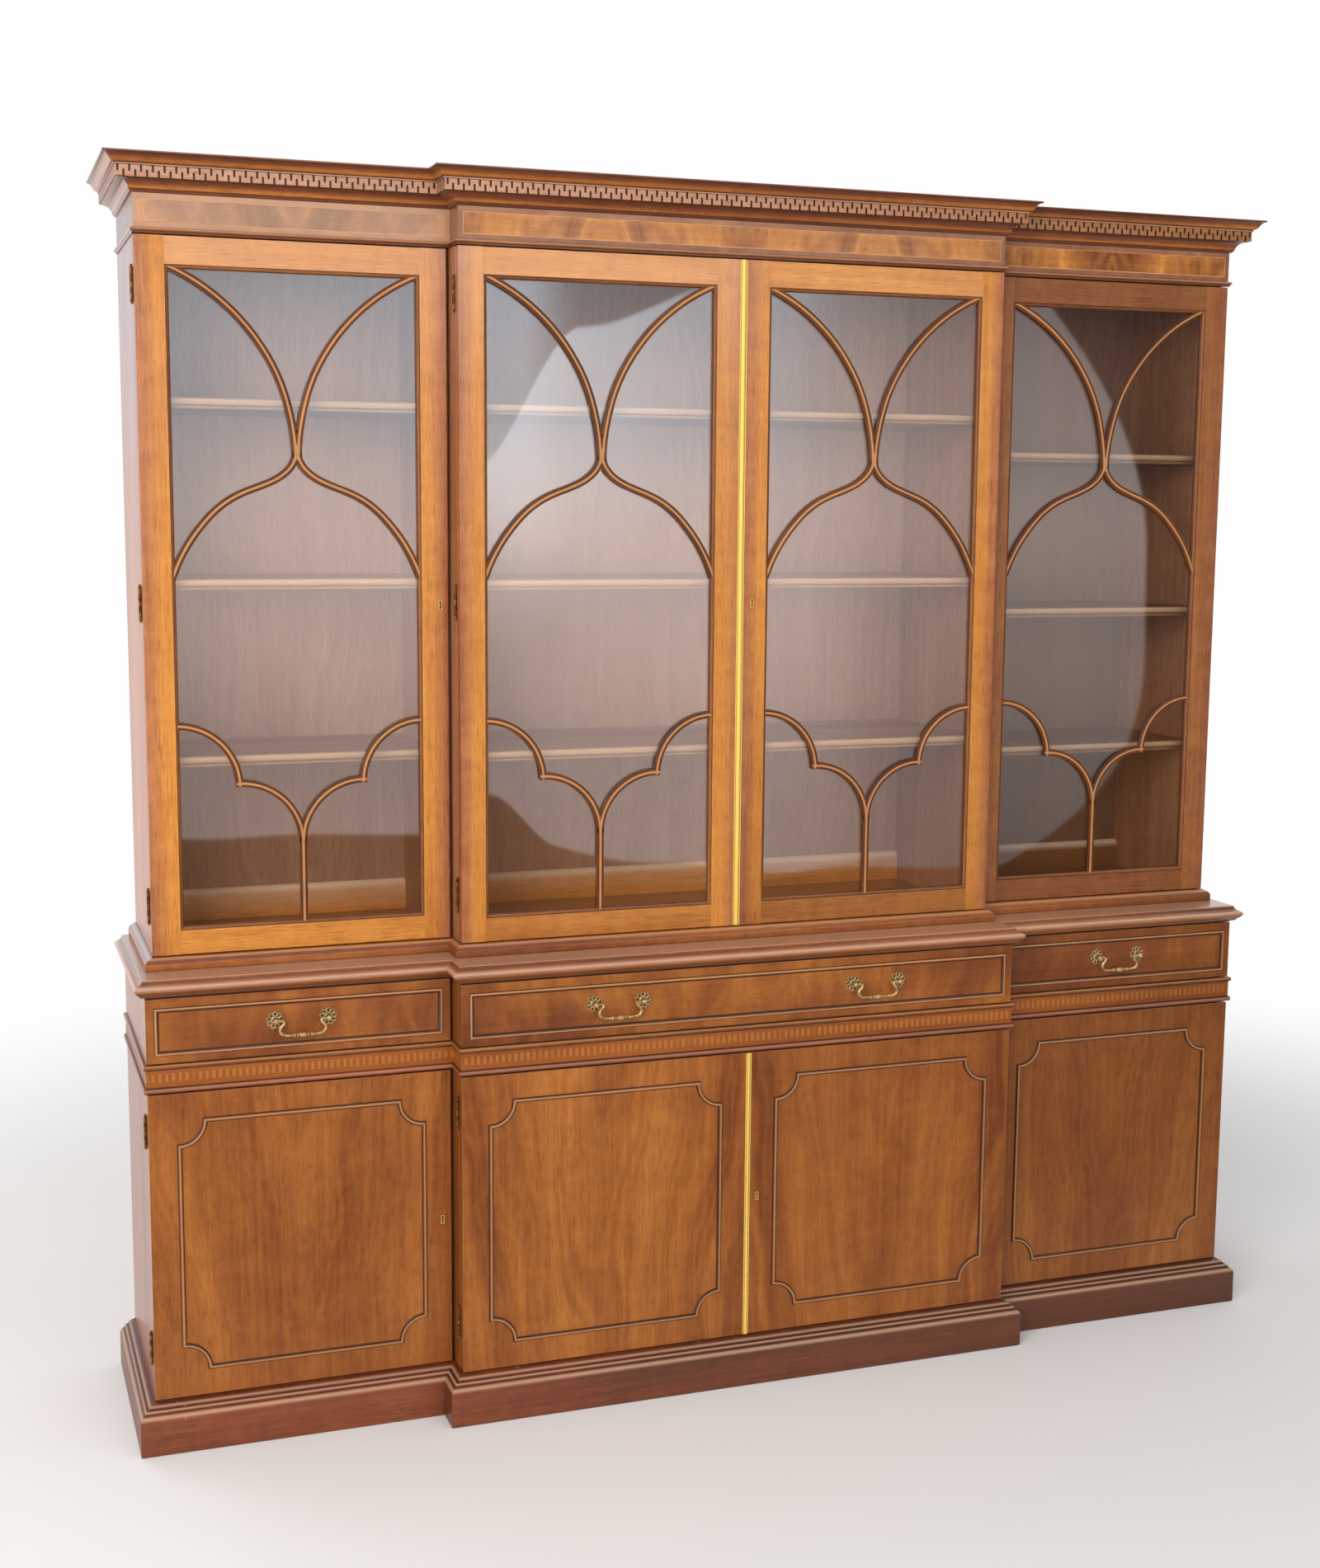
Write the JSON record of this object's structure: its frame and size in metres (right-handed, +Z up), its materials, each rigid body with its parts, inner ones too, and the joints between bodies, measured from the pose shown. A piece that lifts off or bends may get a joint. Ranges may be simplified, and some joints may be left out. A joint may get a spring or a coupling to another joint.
{
  "type": "breakfront bookcase",
  "caption": "Breakfront bookcase in mahogany: glazed tracery doors over drawers with bail handles over cupboard doors, on a moulded plinth, under a fretted cornice.",
  "frame": {"origin": "middle of the footprint at floor level: the centre of the bounding box's bottom face", "axes": "+Z up, front towards -Y, +X to the right for someone facing the front, back against the wall at +Y"},
  "size_m": [2.018, 0.428, 2],
  "materials": {
    "mahogany_frame": "satin polish, straight grain",
    "mahogany_dark": "satin polish, dark, worn edges",
    "mahogany_moulding": "satin polish",
    "figured_veneer": "satin polish, crown-cut veneer",
    "frieze_veneer": "satin polish, cross-banded veneer with boxwood stringing",
    "inlaid_band": "satin polish, small inlaid blocks between beads",
    "mahogany_inside": "thin matt polish",
    "drawer_timber": "bare pale timber",
    "polished_brass": "polished",
    "antique_brass": "aged, softly polished",
    "clear_glass": "clear, polished"
  },
  "bodies": {
    "case": {"plinth": "mahogany_dark", "plinth_centre": "mahogany_dark", "countertop": "mahogany_moulding", "upper_base_mould": "mahogany_moulding", "cornice": "mahogany_moulding", "waist_band": "inlaid_band", "frieze": "frieze_veneer", "base_side_left": "mahogany_frame", "base_side_right": "mahogany_frame", "upper_side_left": "mahogany_frame", "upper_side_right": "mahogany_frame", "base_floor": "mahogany_inside", "base_upright_left": "mahogany_inside", "base_upright_right": "mahogany_inside", "base_back": "mahogany_inside", "upper_upright_left": "mahogany_inside", "upper_upright_right": "mahogany_inside", "upper_back": "mahogany_inside", "upper_top": "mahogany_inside", "cupboard_shelf_left": "mahogany_inside", "cupboard_shelf_centre": "mahogany_inside", "cupboard_shelf_right": "mahogany_inside", "shelf_left_1": "mahogany_inside", "shelf_left_2": "mahogany_inside", "shelf_left_3": "mahogany_inside", "shelf_centre_1": "mahogany_inside", "shelf_centre_2": "mahogany_inside", "shelf_centre_3": "mahogany_inside", "shelf_right_1": "mahogany_inside", "shelf_right_2": "mahogany_inside", "shelf_right_3": "mahogany_inside"},
    "upper_door_left": {"door_frame_left": "mahogany_frame", "tracery_left": "mahogany_moulding", "glass_left": "clear_glass"},
    "upper_door_centre_left": {"door_frame_centre_left": "mahogany_frame", "tracery_centre_left": "mahogany_moulding", "glass_centre_left": "clear_glass", "upper_meeting_strip": "polished_brass"},
    "upper_door_centre_right": {"door_frame_centre_right": "mahogany_frame", "tracery_centre_right": "mahogany_moulding", "glass_centre_right": "clear_glass"},
    "upper_door_right": {"door_frame_right": "mahogany_frame", "tracery_right": "mahogany_moulding", "glass_right": "clear_glass"},
    "lower_door_left_leaf": {"lower_door_left": "figured_veneer"},
    "lower_door_centre_left_leaf": {"lower_door_centre_left": "figured_veneer", "lower_meeting_strip": "polished_brass"},
    "lower_door_centre_right_leaf": {"lower_door_centre_right": "figured_veneer"},
    "lower_door_right_leaf": {"lower_door_right": "figured_veneer"},
    "drawer_left": {"drawer_front_left": "figured_veneer", "drawer_box_left": "drawer_timber"},
    "drawer_centre": {"drawer_front_centre": "figured_veneer", "drawer_box_centre": "drawer_timber"},
    "drawer_right": {"drawer_front_right": "figured_veneer", "drawer_box_right": "drawer_timber"},
    "bail_left_swing": {"bail_left": "antique_brass"},
    "bail_centre_a_swing": {"bail_centre_a": "antique_brass"},
    "bail_centre_b_swing": {"bail_centre_b": "antique_brass"},
    "bail_right_swing": {"bail_right": "antique_brass"}
  },
  "joints": [
    {"name": "upper_door_left_hinge", "type": "hinge", "parent": "case", "child": "upper_door_left", "pos_m": [-0.9655, -0.04975, 1.334], "axis": [0, 0, -1], "range_deg": [0, 110]},
    {"name": "upper_door_centre_left_hinge", "type": "hinge", "parent": "case", "child": "upper_door_centre_left", "pos_m": [-0.4805, -0.10175, 1.334], "axis": [0, 0, -1], "range_deg": [0, 110]},
    {"name": "upper_door_centre_right_hinge", "type": "hinge", "parent": "case", "child": "upper_door_centre_right", "pos_m": [0.4805, -0.10175, 1.334], "axis": [0, 0, 1], "range_deg": [0, 110]},
    {"name": "upper_door_right_hinge", "type": "hinge", "parent": "case", "child": "upper_door_right", "pos_m": [0.9655, -0.04975, 1.334], "axis": [0, 0, 1], "range_deg": [0, 110]},
    {"name": "lower_door_left_hinge", "type": "hinge", "parent": "case", "child": "lower_door_left_leaf", "pos_m": [-0.9855, -0.11575, 0.329], "axis": [0, 0, -1], "range_deg": [0, 110]},
    {"name": "lower_door_centre_left_hinge", "type": "hinge", "parent": "case", "child": "lower_door_centre_left_leaf", "pos_m": [-0.4985, -0.16775, 0.329], "axis": [0, 0, -1], "range_deg": [0, 110]},
    {"name": "lower_door_centre_right_hinge", "type": "hinge", "parent": "case", "child": "lower_door_centre_right_leaf", "pos_m": [0.4985, -0.16775, 0.329], "axis": [0, 0, 1], "range_deg": [0, 110]},
    {"name": "lower_door_right_hinge", "type": "hinge", "parent": "case", "child": "lower_door_right_leaf", "pos_m": [0.9855, -0.11575, 0.329], "axis": [0, 0, 1], "range_deg": [0, 110]},
    {"name": "drawer_left_slide", "type": "slide", "parent": "case", "child": "drawer_left", "axis": [0, -1, 0], "range_m": [0, 0.22]},
    {"name": "drawer_centre_slide", "type": "slide", "parent": "case", "child": "drawer_centre", "axis": [0, -1, 0], "range_m": [0, 0.27]},
    {"name": "drawer_right_slide", "type": "slide", "parent": "case", "child": "drawer_right", "axis": [0, -1, 0], "range_m": [0, 0.22]},
    {"name": "bail_left_hinge", "type": "hinge", "parent": "drawer_left", "child": "bail_left_swing", "pos_m": [-0.742, -0.148, 0.683], "axis": [-1, 0, 0], "range_deg": [-12, 110]},
    {"name": "bail_centre_a_hinge", "type": "hinge", "parent": "drawer_centre", "child": "bail_centre_a_swing", "pos_m": [-0.232, -0.2, 0.683], "axis": [-1, 0, 0], "range_deg": [-12, 110]},
    {"name": "bail_centre_b_hinge", "type": "hinge", "parent": "drawer_centre", "child": "bail_centre_b_swing", "pos_m": [0.232, -0.2, 0.683], "axis": [-1, 0, 0], "range_deg": [-12, 110]},
    {"name": "bail_right_hinge", "type": "hinge", "parent": "drawer_right", "child": "bail_right_swing", "pos_m": [0.742, -0.148, 0.683], "axis": [-1, 0, 0], "range_deg": [-12, 110]}
  ]
}
